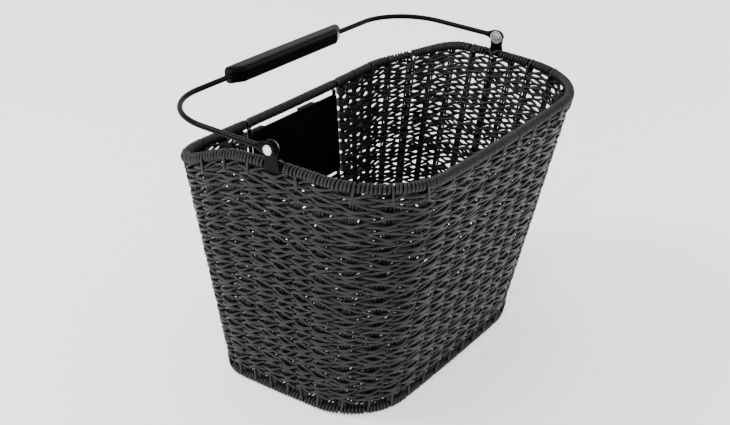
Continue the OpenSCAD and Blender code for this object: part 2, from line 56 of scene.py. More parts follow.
# ---- driving sizes, the same as the CAD model's ----
RIM_HALF_W, RIM_HALF_D, RIM_FRONT_R, RIM_REAR_R, RIM_Z = 175, 117, 68, 48, 251
FRONT_DROP, REAR_DROP, MIDDLE_SAG, RIM_BOW, RIM_FLARE = 5.7, 24.7, 2.8, 3.8, 0.028
REAR_FALL_START, REAR_FALL_END = 28, 120
BASE_HALF_W, BASE_HALF_D, BASE_FRONT_R, BASE_REAR_R = 135.5, 86.5, 51, 32
BASE_SHIFT, BASE_BOW, BASE_Z = 18.5, 2.7, 4.7
HOOP_R, WRAP_R, ROD_R, ROD_X = 2.5, 4.7, 2, 66
PIVOT_Y, PIVOT_Z = HINGE["pos_m"][1] / MM, HINGE["pos_m"][2] / MM
HANDLE_ANGLE, HANDLE_REACH, HANDLE_BEND_R, HANDLE_ROD_R = 2.9, 127.5, 56, 2.5
EYELET_T, EYELET_R, NECK_L = 2.8, 6.2, 15
GRIP_L, GRIP_W, GRIP_T = 164, 17, 16
# Both outlines have eight parts, counted from the front left corner's end
PARTS = 8
FRONT_MIDDLE, REAR_MIDDLE = 0.5, 4.5
# Places on the wall run from here, half way along the rear, round the left side, front and right side
CUT = -3.5
# Directions are measured between the places this far to either side
NEARBY = 0.01
# Height of the wall below the rear opening
OPENING_LOW = 116

# ---- cane: half height and half thickness where it is oval ----
CANE_R = 1.2
WEAVE_CANE = (1.38, 1.15)
WRAP_CANE = (1.08, 1.36)
FLOOR_CANE = (1.2, 0.95)
CANE_SIDES = 8
RING_STEP = 2.4

# ---- rows, as shares of the wall's height; the first ones end beside the rear opening ----
ROWS = 17
FIRST_ROW, LAST_ROW = 0.9505, 0.069
OPEN_ROWS = 8
# Heights of the four twined pairs of a row, at the stakes and midway between them
PAIRS_AT_STAKE = (-2.8, -0.95, 0.95, 2.8)
PAIRS_BETWEEN = (-4.9, -1.7, 1.7, 4.9)
# How far the two canes of each pair part where they cross, and how much the outer one stands higher
TWIST_RISE = (1.9, 2.4, 2.4, 1.9)
OUTER_RISE = 0.4
# How early the pairs cross between two stakes, and how flat they lie against a stake
PAIR_LEAN, FLATNESS = 0.08, 0.9
# Clearance of the canes from the stake's canes and from a frame wire
STAKE_GAP, WIRE_GAP = 0.1, 0.1
# The sizes of pairs and twists are for a wall of this height
FULL_HEIGHT = 247
ROW_SHIFT, ROW_WANDER, ROW_WAVE, STAKE_PULL = 0.5, 0.55, 0.28, 0.35
CANE_WANDER_UP, CANE_WANDER_OUT = 0.5, 0.2
EDGE_BULGE = 1.1

# ---- stakes, wrapping and ties ----
EDGE_STAKE_X = 77
STAKE_CANE_STEP = 2.4
STAKE_INSET = 3.4
STAKE_SWAY, STAKE_DEPTH = 0.25, 0.12
# The canes of a stake stand closer together at the base and part towards the rim
STAKE_CLOSE, STAKE_OPENS = 0.9, 0.22
WRAP_PITCH = 3.1
WRAP_STEPS = 14
WRAP_BREAK, ROD_BREAK, TIE_GAP = 9.5, 3.2, 1.7
WRAP_SLACK, WRAP_SHIFT = 0.1, 0.2
# Start and end in half turns of each cane across a break, and how far it rises over the other
CROSSINGS = ((0.42, 1.62, 0.0), (1.55, 0.5, 2 * WRAP_CANE[0]))
TIE_REACH, TIE_DEPTH = 12, 3.7
# Share of the stakes that are tied to the rim, and how far from a pivot the ties begin
TIED_SHARE, PIVOT_CLEAR = 0.8, 0.12

# ---- floor ----
FLOOR_MIDDLE = 2.6
FLOOR_GROUPS, FLOOR_GROUP_STEP, FLOOR_ROW_STEP = 12, 22.0, 5.2
FLOOR_CANE_STEP, FLOOR_AMPLITUDE, FLOOR_TWIST = 2.35, 1.5, 1.25
FLOOR_SWAY, FLOOR_WAVE, FLOOR_DRIFT, FLOOR_FLATNESS = 0.25, 0.08, 0.35, 1.4
FLOOR_EDGE = 9

# ---- light ----
FLOOR_GLOW, SKY = 0.8, 1.2


# ---- walls ----

def smooth(t):
    """Eases from 0 to 1 as t goes from 0 to 1."""
    u = np.clip(t, 0, 1)
    return u * u * (3 - 2 * u)


def outline(s, w, d, rf, rr):
    """Rounded outline in eight parts from the front left: front, corner, right, corner, rear ..."""
    s = np.asarray(s, float)
    k = np.floor(s).astype(int) % PARTS
    t = s - np.floor(s)
    a = np.radians(90 * t)
    run = 2 * d - rf - rr
    zero = 0 * t
    x = np.choose(k, [(w - rf) * (2 * t - 1), w - rf + rf * np.sin(a), w + zero,
                      w - rr + rr * np.cos(a), (w - rr) * (1 - 2 * t), -w + rr - rr * np.sin(a),
                      -w + zero, -w + rf - rf * np.cos(a)])
    y = np.choose(k, [-d + zero, -d + rf - rf * np.cos(a), -d + rf + run * t,
                      d - rr + rr * np.sin(a), d + zero, d - rr + rr * np.cos(a),
                      d - rr - run * t, -d + rf - rf * np.sin(a)])
    return x, y


def bow(share, other):
    """Bulge of a straight part, fading to nothing at its ends."""
    return (1 - other * other) * np.clip(2 * np.abs(share) - 1, 0, 1)


def rim_at(s):
    """Centre of the top hoop's wire at place s."""
    x, y = outline(s, RIM_HALF_W, RIM_HALF_D, RIM_FRONT_R, RIM_REAR_R)
    u, v = x / RIM_HALF_W, y / RIM_HALF_D
    sag = MIDDLE_SAG * (1 - u * u) * v ** 4
    fall = REAR_DROP * smooth((y - REAR_FALL_START) / (REAR_FALL_END - REAR_FALL_START))
    drop = np.where(y < 0, FRONT_DROP * smooth(-v), fall)
    return np.stack([x * (1 + RIM_FLARE * v), y - np.where(v < 0, RIM_BOW * bow(v, u), 0),
                     RIM_Z - drop - sag], -1)


def base_at(s):
    """Centre of the base hoop's wire at place s."""
    x, y = outline(s, BASE_HALF_W, BASE_HALF_D, BASE_FRONT_R, BASE_REAR_R)
    u, v = x / BASE_HALF_W, y / BASE_HALF_D
    return np.stack([x + np.sign(x) * BASE_BOW * bow(u, v),
                     y + BASE_SHIFT - np.where(v < 0, BASE_BOW * bow(v, u), 0),
                     BASE_Z + 0 * x], -1)


def side_right(y):
    """Place on the right side of the rim outline at y."""
    return 2 + (y + RIM_HALF_D - RIM_FRONT_R) / (2 * RIM_HALF_D - RIM_FRONT_R - RIM_REAR_R)


def rear_places(x):
    """Places on the base and on the rim outline that stand at x on the rear wall."""
    base = REAR_MIDDLE - x / (BASE_HALF_W - BASE_REAR_R) / 2
    rim = REAR_MIDDLE - x / (1 + RIM_FLARE) / (RIM_HALF_W - RIM_REAR_R) / 2
    return base, rim


def mirrored(v):
    """The same place on the other side of the basket."""
    return 2 * FRONT_MIDDLE - v


def unwound(v):
    """The same place counted from the rear middle, -3.5 to 4.5."""
    return (v - CUT) % PARTS + CUT


# Place of the stakes beside the rear opening
GROUP_X = (EDGE_STAKE_X + ROD_X) / 2
GROUP_V = REAR_MIDDLE - 0.2


def columns(v):
    """Base and rim places of the wall's columns; the one beside the rear rods stands upright."""
    base_g, rim_g = rear_places(GROUP_X)
    knots = [CUT, mirrored(GROUP_V), -3, 4, GROUP_V, REAR_MIDDLE]
    base = [CUT, mirrored(base_g), -3, 4, base_g, REAR_MIDDLE]
    rim = [CUT, mirrored(rim_g), -3, 4, rim_g, REAR_MIDDLE]
    v = unwound(np.asarray(v, float))
    return np.interp(v, knots, base), np.interp(v, knots, rim)


def wall_at(v, h, out):
    """Points of the wall: column v, share h of its height, out mm outside its middle."""
    v, h, out = np.broadcast_arrays(np.asarray(v, float), h, out)

    def at(c):
        b, r = columns(c)
        return base_at(b) * (1 - h[..., None]) + rim_at(r) * h[..., None]
    along = at(v + NEARBY) - at(v - NEARBY)
    normal = np.stack([along[..., 1], -along[..., 0], 0 * h], -1)
    normal /= np.linalg.norm(normal, axis=-1, keepdims=True)
    return at(v) + normal * out[..., None], normal


def wall_height(v):
    """Length of column v between the two hoops' wires."""
    b, r = columns(v)
    return np.linalg.norm(rim_at(r) - base_at(b), axis=-1)


# ---- where the stakes stand, from the middle of the front round to the rear ----

SIDE_UPRIGHT = float(side_right(PIVOT_Y))
CORNER_UPRIGHT = 1.46
REAR_UPRIGHT = 3.33
FRONT_STAKE_STEP = 0.132
RIGHT_STAKES = ([FRONT_MIDDLE + FRONT_STAKE_STEP * (i + 0.5) for i in range(4)]
                + [1.19, CORNER_UPRIGHT, 1.73]
                + [2, (2 + SIDE_UPRIGHT) / 2, SIDE_UPRIGHT]
                + [SIDE_UPRIGHT + (3 - SIDE_UPRIGHT) * i / 3 for i in (1, 2)]
                + [3, REAR_UPRIGHT, (REAR_UPRIGHT + 4) / 2, 4, (4 + GROUP_V) / 2, GROUP_V,
                   GROUP_V + 0.08, GROUP_V + 0.16])
HALF = len(RIGHT_STAKES)
STAKES = [mirrored(v) for v in reversed(RIGHT_STAKES)] + RIGHT_STAKES
COUNT = len(STAKES)
GROUP_INDEX = RIGHT_STAKES.index(GROUP_V)
UPRIGHTS = (CORNER_UPRIGHT, SIDE_UPRIGHT, REAR_UPRIGHT)
SAME = 1e-6
UP = np.array([0, 0, 1.0])


def has_wire(v):
    """Whether a frame wire stands in the place of the stake at v."""
    return any(abs(v - w) < SAME or abs(mirrored(v) - w) < SAME for w in UPRIGHTS)


# ---- meshes ----

class Builder:
    """Collects tubes and turns them into one smooth mesh piece."""

    def __init__(self, seed):
        self.random = np.random.default_rng(seed)
        self.points, self.quads, self.caps, self.marks = [], [], [], []
        self.count = 0

    def tube(self, path, ref, thick, wide=None, sides=CANE_SIDES, closed=False):
        """Sweeps an oval along path; ref is the direction in which it is thick."""
        path = np.asarray(path, float)
        n = len(path)
        wide = thick if wide is None else wide
        if closed:
            along = np.roll(path, -1, 0) - np.roll(path, 1, 0)
        else:
            along = np.gradient(path, axis=0)
        along /= np.linalg.norm(along, axis=1, keepdims=True)
        ref = np.broadcast_to(ref, path.shape)
        first = ref - (ref * along).sum(1, keepdims=True) * along
        first /= np.linalg.norm(first, axis=1, keepdims=True)
        second = np.cross(along, first)
        a = 2 * math.pi * np.arange(sides) / sides
        thick, wide = np.broadcast_to(thick, n), np.broadcast_to(wide, n)
        ring = (path[:, None] + np.cos(a)[None, :, None] * (first * thick[:, None])[:, None]
                + np.sin(a)[None, :, None] * (second * wide[:, None])[:, None])
        i = np.arange(n if closed else n - 1)[:, None]
        j = np.arange(sides)[None]
        ni, nj = (i + 1) % n, (j + 1) % sides
        quads = np.stack([i * sides + j, ni * sides + j, ni * sides + nj, i * sides + nj], -1)
        self.quads.append(quads.reshape(-1, 4)[:, ::-1] + self.count)
        if not closed:
            low = np.arange(sides)
            self.caps.append(np.stack([low, (low + (n - 1) * sides)[::-1]]) + self.count)
        run = np.r_[0, np.cumsum(np.linalg.norm(np.diff(path, axis=0), axis=1))]
        mark = np.empty((n, sides, 3))
        mark[..., 0] = run[:, None]
        mark[..., 1] = a[None] / (2 * math.pi)
        mark[..., 2] = self.random.random()
        self.points.append(ring.reshape(-1, 3))
        self.marks.append(mark.reshape(-1, 3))
        self.count += n * sides

    def piece(self, name):
        mesh = bpy.data.meshes.new(name)
        points = np.concatenate(self.points) * MM
        quads = np.concatenate(self.quads)
        caps = [c for pair in self.caps for c in pair]
        sizes = np.r_[np.full(len(quads), 4), [len(c) for c in caps]].astype(np.int32)
        corners = np.concatenate([quads.ravel()] + caps).astype(np.int32)
        mesh.vertices.add(len(points))
        mesh.vertices.foreach_set("co", points.ravel())
        mesh.loops.add(len(corners))
        mesh.loops.foreach_set("vertex_index", corners)
        mesh.polygons.add(len(sizes))
        mesh.polygons.foreach_set("loop_start", np.r_[0, np.cumsum(sizes)[:-1]].astype(np.int32))
        mesh.update(calc_edges=True)
        smooth_flags = np.r_[np.ones(len(quads), bool), np.zeros(len(caps), bool)]
        mesh.polygons.foreach_set("use_smooth", smooth_flags)
        mark = mesh.attributes.new("cane", "FLOAT_VECTOR", "POINT")
        mark.data.foreach_set("vector", np.concatenate(self.marks).ravel().astype(np.float32))
        mesh.validate()
        return linked(bpy.data.objects.new(name, mesh))


def linked(obj):
    """Puts an object into the scene and hands it back."""
    bpy.context.scene.collection.objects.link(obj)
    return obj


def smooth_piece(name, mesh):
    """An object from a mesh, shaded smooth with its flat faces kept flat."""
    mesh.polygons.foreach_set("use_smooth", np.ones(len(mesh.polygons), bool))
    obj = linked(bpy.data.objects.new(name, mesh))
    normals = obj.modifiers.new("normals", "WEIGHTED_NORMAL")
    normals.keep_sharp = True
    return obj


def finish_piece(obj, material, slot, body, *nodes):
    """Gives a piece its material and body, and takes the place of the CAD nodes; the slot argument is
    not used.
    """
    obj.data.materials.clear()
    obj.data.materials.append(material)
    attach(obj, body)
    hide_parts(*nodes)


def wander(random, t, size, waves=4, fastest=1.0):
    """Smooth random wave over t, about size high."""
    total = 0
    for _ in range(waves):
        turns = fastest * random.uniform(0.25, 1) * t + random.random()
        total = total + np.sin(2 * math.pi * turns)
    return size * total / math.sqrt(waves)


# ---- materials ----

def node_material(name):
    """A new material with its nodes, links and main shader."""
    mat = bpy.data.materials.new(name)
    mat.use_nodes = True
    nodes, links = mat.node_tree.nodes, mat.node_tree.links
    return mat, nodes, links, nodes["Principled BSDF"]


def ramp(nodes, links, source, stops):
    """Colour that follows a value through the given stops."""
    r = nodes.new("ShaderNodeValToRGB")
    while len(r.color_ramp.elements) < len(stops):
        r.color_ramp.elements.new(0.5)
    for e, (place, colour) in zip(r.color_ramp.elements, stops):
        e.position = place
        e.color = (*colour, 1)
    links.new(source, r.inputs["Fac"])
    return r.outputs["Color"]


def spread(nodes, links, source, low, high):
    """A 0 to 1 value spread from low to high."""
    m = nodes.new("ShaderNodeMapRange")
    m.inputs["To Min"].default_value = low
    m.inputs["To Max"].default_value = high
    links.new(source, m.inputs["Value"])
    return m.outputs["Result"]


def noise(nodes, links, vector, scale, detail=3.0, stretch=None):
    """Noise over a vector, stretched differently along its parts if asked."""
    n = nodes.new("ShaderNodeTexNoise")
    n.inputs["Scale"].default_value = scale
    n.inputs["Detail"].default_value = detail
    if stretch:
        m = nodes.new("ShaderNodeMapping")
        m.inputs["Scale"].default_value = stretch
        links.new(vector, m.inputs["Vector"])
        vector = m.outputs["Vector"]
    links.new(vector, n.inputs["Vector"])
    return n.outputs["Fac"]


def bump(nodes, links, height, distance):
    """Surface normal roughened by a height value, distance metres deep."""
    b = nodes.new("ShaderNodeBump")
    b.inputs["Strength"].default_value = 1.0
    b.inputs["Distance"].default_value = distance
    links.new(height, b.inputs["Height"])
    return b.outputs["Normal"]


def cane_material():
    """Extruded plastic cane: charcoal, satin, with grain along it and each strand its own shade."""
    mat, nodes, links, shader = node_material("charcoal_cane")
    mark = nodes.new("ShaderNodeAttribute")
    mark.attribute_name = "cane"
    split = nodes.new("ShaderNodeSeparateXYZ")
    links.new(mark.outputs["Vector"], split.inputs["Vector"])
    grain = noise(nodes, links, mark.outputs["Vector"], 1.0, 4.0, (0.045, 9.0, 40.0))
    patch = noise(nodes, links, mark.outputs["Vector"], 1.0, 2.0, (0.02, 0.6, 31.0))
    shade = nodes.new("ShaderNodeMath")
    shade.operation = "ADD"
    links.new(spread(nodes, links, split.outputs["Z"], 0.0, 0.45), shade.inputs[0])
    links.new(spread(nodes, links, patch, 0.0, 0.55), shade.inputs[1])
    tones = [(0.0, (0.0022, 0.0022, 0.0024)), (0.5, (0.0055, 0.0055, 0.0058)),
             (1.0, (0.012, 0.012, 0.0126))]
    colour = ramp(nodes, links, shade.outputs[0], tones)
    links.new(colour, shader.inputs["Base Color"])
    links.new(spread(nodes, links, grain, 0.30, 0.48), shader.inputs["Roughness"])
    links.new(bump(nodes, links, grain, 0.00012), shader.inputs["Normal"])
    shader.inputs["Specular IOR Level"].default_value = 0.25
    return mat


def coat_material(name, dark, light, rough, grain_scale, grain_depth, gloss):
    """Painted or moulded surface with a fine texture and slight changes of shade."""
    mat, nodes, links, shader = node_material(name)
    place = nodes.new("ShaderNodeTexCoord").outputs["Object"]
    fine = noise(nodes, links, place, grain_scale, 5.0)
    broad = noise(nodes, links, place, 60.0, 3.0)
    links.new(ramp(nodes, links, broad, [(0.3, dark), (0.7, light)]), shader.inputs["Base Color"])
    links.new(spread(nodes, links, fine, rough[0], rough[1]), shader.inputs["Roughness"])
    if grain_depth > 0:
        links.new(bump(nodes, links, fine, grain_depth), shader.inputs["Normal"])
    shader.inputs["Specular IOR Level"].default_value = gloss
    return mat


def steel_material():
    """Bright zinc-plated steel with fine turning marks."""
    mat, nodes, links, shader = node_material("bright_zinc")
    place = nodes.new("ShaderNodeTexCoord").outputs["Object"]
    marks = noise(nodes, links, place, 1500.0, 4.0, (1.0, 1.0, 0.15))
    broad = noise(nodes, links, place, 250.0, 2.0)
    tones = [(0.3, (0.62, 0.62, 0.63)), (0.7, (0.82, 0.82, 0.82))]
    links.new(ramp(nodes, links, broad, tones), shader.inputs["Base Color"])
    links.new(spread(nodes, links, marks, 0.2, 0.38), shader.inputs["Roughness"])
    links.new(bump(nodes, links, marks, 0.00004), shader.inputs["Normal"])
    shader.inputs["Metallic"].default_value = 1.0
    return mat


CANE = cane_material()
PAINT = coat_material("satin_black_paint", (0.0012, 0.0012, 0.0013), (0.0026, 0.0026, 0.0027),
                      (0.24, 0.34), 1400.0, 0.00001, 0.05)
PLATE = coat_material("matt_black_plate", (0.0008, 0.0008, 0.0008), (0.0016, 0.0016, 0.0016),
                      (0.6, 0.75), 1800.0, 0.00004, 0.03)
MOULDED = coat_material("moulded_plastic", (0.0014, 0.0014, 0.0015), (0.003, 0.003, 0.0031),
                        (0.5, 0.66), 1100.0, 0.00004, 0.05)
GRIP = coat_material("glossy_grip", (0.0008, 0.0008, 0.001), (0.0012, 0.0012, 0.0014),
                     (0.2, 0.26), 160.0, 0.0, 0.06)
ZINC = steel_material()


# ---- woven rows ----

def stake_amplitude():
    """How far a cane stands off the wall's middle at each stake: further past a frame wire."""
    plain = 2 * CANE_R + STAKE_GAP
    wired = ROD_R + CANE_R + WIRE_GAP
    edges = (FIRST_OPEN, LAST_OPEN)
    return [wired if has_wire(v) or i in edges else plain for i, v in enumerate(STAKES)]


# Numbers of the edge stakes, where the rows beside the opening end
FIRST_OPEN, LAST_OPEN = HALF - 1 - GROUP_INDEX, HALF + GROUP_INDEX
AMPLITUDE = stake_amplitude()


def stake_places(open_row):
    """Stake places for a row; the rows beside the opening end at the edge stakes."""
    places = list(STAKES)
    if open_row:
        rim_edge, rim_group = rear_places(EDGE_STAKE_X)[1], rear_places(GROUP_X)[1]
        edge = 4 + (GROUP_V - 4) * (rim_edge - 4) / (rim_group - 4)
        places[LAST_OPEN], places[FIRST_OPEN] = edge, mirrored(edge)
    return places


def row_height(r):
    """Share of the wall's height at which row r lies, counted from the top."""
    return FIRST_ROW + (LAST_ROW - FIRST_ROW) * r / (ROWS - 1)


def row_line(r, open_row):
    """Stake count u along a row, with the stakes' numbers, places and amplitudes."""
    places = stake_places(open_row)
    wall = wall_at(np.linspace(CUT, REAR_MIDDLE, 400), row_height(r), 0)[0]
    steps = int(np.linalg.norm(np.diff(wall, axis=0), axis=1).sum() / RING_STEP)
    if open_row:
        index = np.arange(FIRST_OPEN, LAST_OPEN + 1)
        knots, levels = np.array(places)[index], np.array(AMPLITUDE)[index]
        u = np.linspace(FIRST_OPEN, LAST_OPEN, int(steps * (LAST_OPEN - FIRST_OPEN) / COUNT))
    else:
        index = np.arange(-1, COUNT + 1)
        knots = np.r_[places[-1] - PARTS, places, places[0] + PARTS]
        levels = np.r_[AMPLITUDE[-1], AMPLITUDE, AMPLITUDE[0]]
        u = np.linspace(-0.5, COUNT - 0.5, steps, endpoint=False)
    return u, index, knots, levels


def row_wave(random, u, index, open_row):
    """Slow rises and falls of a whole row, and a small pull at each stake."""
    if open_row:
        wave = random.uniform(-ROW_SHIFT, ROW_SHIFT) + wander(random, u / COUNT, ROW_WANDER, 5, 9)
        return wave + np.interp(u, index, random.normal(0, STAKE_PULL, len(index)))
    wave = random.uniform(-ROW_SHIFT, ROW_SHIFT) + wander(random, u / COUNT, ROW_WANDER, 5, 0.001)
    for k in range(1, 9):
        size = ROW_WAVE * random.normal()
        wave = wave + size * np.sin(2 * math.pi * (k * (u + 0.5) / COUNT + random.random()))
    pull = np.interp(u, index, random.normal(0, STAKE_PULL, len(index)))
    return wave + pull * faded_ends(u, -0.5, COUNT - 0.5)


def faded_ends(u, low, high):
    """One along u, falling to nothing within a stake of either end."""
    return (np.sin(math.pi * np.clip((u - low) / 2, 0, 0.5))
            * np.sin(math.pi * np.clip((high - u) / 2, 0, 0.5)))


def weave_row(r):
    """One row: four twined pairs of canes."""
    open_row = r < OPEN_ROWS
    builder = Builder(100 + r)
    random = builder.random
    u, index, knots, levels = row_line(r, open_row)
    v, level = np.interp(u, index, knots), np.interp(u, index, levels)
    wave = row_wave(random, u, index, open_row)
    height = wall_height(v)
    mid = 0.5 - 0.5 * np.cos(2 * math.pi * u)
    cross = np.sin(math.pi * u)
    rough = faded_ends(u, u[0], u[-1])

    def cane(pair, side):
        """Points and normals of one cane; pairs next to each other turn opposite ways."""
        turn = (1 if (pair + r) % 2 else -1) * side * TWIST_RISE[pair]
        lean = PAIR_LEAN if pair % 2 else -PAIR_LEAN
        c = side * np.cos(math.pi * (u + lean * mid))
        up = PAIRS_AT_STAKE[pair] + (PAIRS_BETWEEN[pair] - PAIRS_AT_STAKE[pair]) * mid
        up = up + turn * cross * np.sqrt(np.abs(cross)) + OUTER_RISE * c
        up = up * height / FULL_HEIGHT + rough * wander(random, u, CANE_WANDER_UP, 5, 0.8)
        out = level * np.tanh(FLATNESS * c) / math.tanh(FLATNESS)
        out = out + rough * wander(random, u, CANE_WANDER_OUT, 5, 0.8)
        return wall_at(v, row_height(r) + (up + wave) / height, out)

    for pair in range(len(PAIRS_BETWEEN)):
        if open_row:
            (near, normal), (far, _) = cane(pair, 1), cane(pair, -1)
            right = edge_loop(near[-1], far[-1], normal[-1], 1)
            left = edge_loop(far[0], near[0], normal[0], -1)
            path = np.concatenate([near, right, far[::-1], left])
            builder.tube(path, UP, *WEAVE_CANE, closed=True)
        else:
            for side in (1, -1):
                builder.tube(cane(pair, side)[0], UP, *WEAVE_CANE, closed=True)
    return builder.piece("weave_row_%02d" % (r + 1))


def edge_loop(a, b, normal, side):
    """Half turn round an edge stake from a to b, bulging along the wall."""
    along = np.array([-normal[1], normal[0], 0]) * side
    turn = np.linspace(0, math.pi, 9)[1:-1, None]
    middle, reach = (a + b) / 2, (a - b) / 2
    bulge = np.linalg.norm(reach) * EDGE_BULGE
    return middle + np.cos(turn) * reach + np.sin(turn) * along * bulge


WEAVE_NODES = ["weave_front", "weave_left_front", "weave_left_rear", "weave_right_front",
               "weave_right_rear", "weave_rear_left", "weave_rear_right", "weave_rear_lower"]


def weave():
    """All rows; together they take the place of the woven panels."""
    for r in range(ROWS):
        nodes = WEAVE_NODES[:-1] if r < OPEN_ROWS else WEAVE_NODES
        finish_piece(weave_row(r), CANE, "cane", "basket", *nodes)


# ---- stakes ----

def stake_group(builder, base_v, rim_v, low, high, offsets):
    """Upright canes side by side from share low to share high of the wall's height."""
    random = builder.random
    t = np.linspace(0, 1, 22)
    b, r = base_at(base_v), rim_at(rim_v)
    along = ((rim_at(rim_v + NEARBY) - rim_at(rim_v - NEARBY))
             + (base_at(base_v + NEARBY) - base_at(base_v - NEARBY)))
    along[2] = 0
    along /= np.linalg.norm(along)
    normal = np.array([along[1], -along[0], 0])
    h = (low + (high - low) * t)[:, None]
    for offset in offsets:
        sway = wander(random, t, STAKE_SWAY, 3, 2.5)[:, None]
        depth = wander(random, t, STAKE_DEPTH, 3, 2.5)[:, None]
        squeeze = STAKE_CLOSE + STAKE_OPENS * h
        path = b * (1 - h) + r * h + along * (offset * squeeze + sway) + normal * depth
        builder.tube(path, normal, CANE_R)


def stakes():
    """The upright canes of every stake place, in four pieces."""
    parts = {"stakes_front": [], "stakes_right": [], "stakes_rear": [], "stakes_left": []}
    for v in STAKES:
        place = abs(v - FRONT_MIDDLE)
        name = ("stakes_front" if place < 1.5 else "stakes_rear" if place > 2.5
                else "stakes_right" if v > FRONT_MIDDLE else "stakes_left")
        parts[name].append(v)
    opening_low = OPENING_LOW / float(wall_height(REAR_MIDDLE))
    for number, (name, places) in enumerate(parts.items()):
        builder = Builder(300 + number)
        for v in places:
            place = abs(v - FRONT_MIDDLE)
            b, r = (float(x) for x in columns(v))
            height = float(wall_height(v))
            low, high = STAKE_INSET / height, 1 - STAKE_INSET / height
            canes = [-STAKE_CANE_STEP, 0, STAKE_CANE_STEP]
            if has_wire(v):
                canes = [-ROD_R - CANE_R, ROD_R + CANE_R]
            if abs(place - (GROUP_V - FRONT_MIDDLE)) < SAME:
                b, r = rear_places(EDGE_STAKE_X if v > 0 else -EDGE_STAKE_X)
                canes = [-STAKE_CANE_STEP / 2, STAKE_CANE_STEP / 2]
            elif place > GROUP_V - FRONT_MIDDLE:
                high = opening_low
            stake_group(builder, b, r, low, high, canes)
        finish_piece(builder.piece(name + "_canes"), CANE, "cane", "basket", name)


# ---- hoops and their wrapping ----

def hoop_line(at, a, b, step):
    """Places at even distances along a hoop from a to b, and the length between those two."""
    s = np.linspace(a, b, 2000)
    run = np.r_[0, np.cumsum(np.linalg.norm(np.diff(at(s), axis=0), axis=1))]
    even = np.interp(np.linspace(0, run[-1], max(2, int(run[-1] / step))), run, s)
    return even, run[-1]


def hoop_frame(at, s):
    """Points of a hoop at places s, with the directions along it, outward and up."""
    along = at(s + NEARBY) - at(s - NEARBY)
    along /= np.linalg.norm(along, axis=-1, keepdims=True)
    side = np.cross(along, UP)
    side /= np.linalg.norm(side, axis=-1, keepdims=True)
    return at(s), along, side, np.cross(side, along)


def pace(at, v):
    """Length of hoop to one unit of place, at v."""
    ahead, behind = at(np.array([v + NEARBY])), at(np.array([v - NEARBY]))
    return float(np.linalg.norm(ahead - behind)) / (2 * NEARBY)


def hoop(name, at, node):
    """Steel wire ring of one hoop."""
    builder = Builder(7)
    s, _ = hoop_line(at, 0, PARTS, 4.0)
    points, _, _, up = hoop_frame(at, s[:-1])
    builder.tube(points, up, HOOP_R, sides=16, closed=True)
    finish_piece(builder.piece(name), PAINT, "black_steel", "basket", node)


def wrap_run(builder, at, a, b, turn_start):
    """Cane wound tightly round a hoop from place a to place b."""
    _, length = hoop_line(at, a, b, 1.0)
    turns = max(2, round(length / WRAP_PITCH))
    t = np.linspace(0, 1, turns * WRAP_STEPS + 1)
    even, _ = hoop_line(at, a, b, length / (turns * WRAP_STEPS + 0.5))
    s = np.interp(t, np.linspace(0, 1, len(even)), even)
    points, along, side, up = hoop_frame(at, s)
    random = builder.random
    angle = turn_start + 2 * math.pi * turns * t
    angle = angle + wander(random, t * turns, WRAP_SLACK, 4, 0.35)
    slack = wander(random, t * turns, WRAP_SLACK, 4, 0.4)
    r = (HOOP_R + WRAP_CANE[0] + 0.02 + np.abs(slack) * 1.2)[:, None]
    radial = side * np.cos(angle)[:, None] + up * np.sin(angle)[:, None]
    shift = wander(random, t * turns, WRAP_SHIFT, 4, 0.45)[:, None]
    builder.tube(points + radial * r + along * shift, radial, *WRAP_CANE)


def tie(builder, at, v_hoop, v_wall, up_sign, reach, shift):
    """Loop of cane round a hoop and the weave row next to it."""
    place, along, side, _ = (x[0] for x in hoop_frame(at, np.array([v_hoop])))
    b, r = (float(x) for x in columns(v_wall))
    to_row = (rim_at(r) - base_at(b)) * up_sign
    to_row /= np.linalg.norm(to_row)
    near, far = HOOP_R + CANE_R + 0.05, TIE_DEPTH
    turn = np.linspace(-math.pi / 2, math.pi / 2, 9)
    at_hoop = [side * near * np.sin(a) - to_row * near * np.cos(a) for a in turn]
    at_row = [side * far * np.sin(a) + to_row * (reach + far * np.cos(a)) + shift * along
              for a in -turn]
    fine = smooth_closed(place + np.array(at_hoop + at_row), 56)
    builder.tube(fine, along, CANE_R, closed=True)


def smooth_closed(points, count):
    """Even points along a closed path, softened where it changes direction."""
    ring = np.vstack([points, points[:1]])
    run = np.r_[0, np.cumsum(np.linalg.norm(np.diff(ring, axis=0), axis=1))]
    t = np.linspace(0, run[-1], count, endpoint=False)
    even = np.stack([np.interp(t, run, ring[:, k]) for k in range(3)], -1)
    for _ in range(2):
        even = 0.5 * even + 0.25 * (np.roll(even, 1, 0) + np.roll(even, -1, 0))
    return even


def crossing_canes(builder, at, v, gap):
    """Two canes that sweep over the inside of the hoop across a break."""
    t = np.linspace(0, 1, 26)
    s = v + (2 * t - 1) * gap / pace(at, v)
    points, _, side, up = hoop_frame(at, s)
    for start, end, lift in CROSSINGS:
        angle = math.pi * (start + (end - start) * smooth(t))
        radial = side * np.cos(angle)[:, None] + up * np.sin(angle)[:, None]
        over = lift * np.exp(-((t - 0.5) / 0.16) ** 2)
        builder.tube(points + radial * (HOOP_R + WRAP_CANE[0] + over)[:, None], radial, *WRAP_CANE)


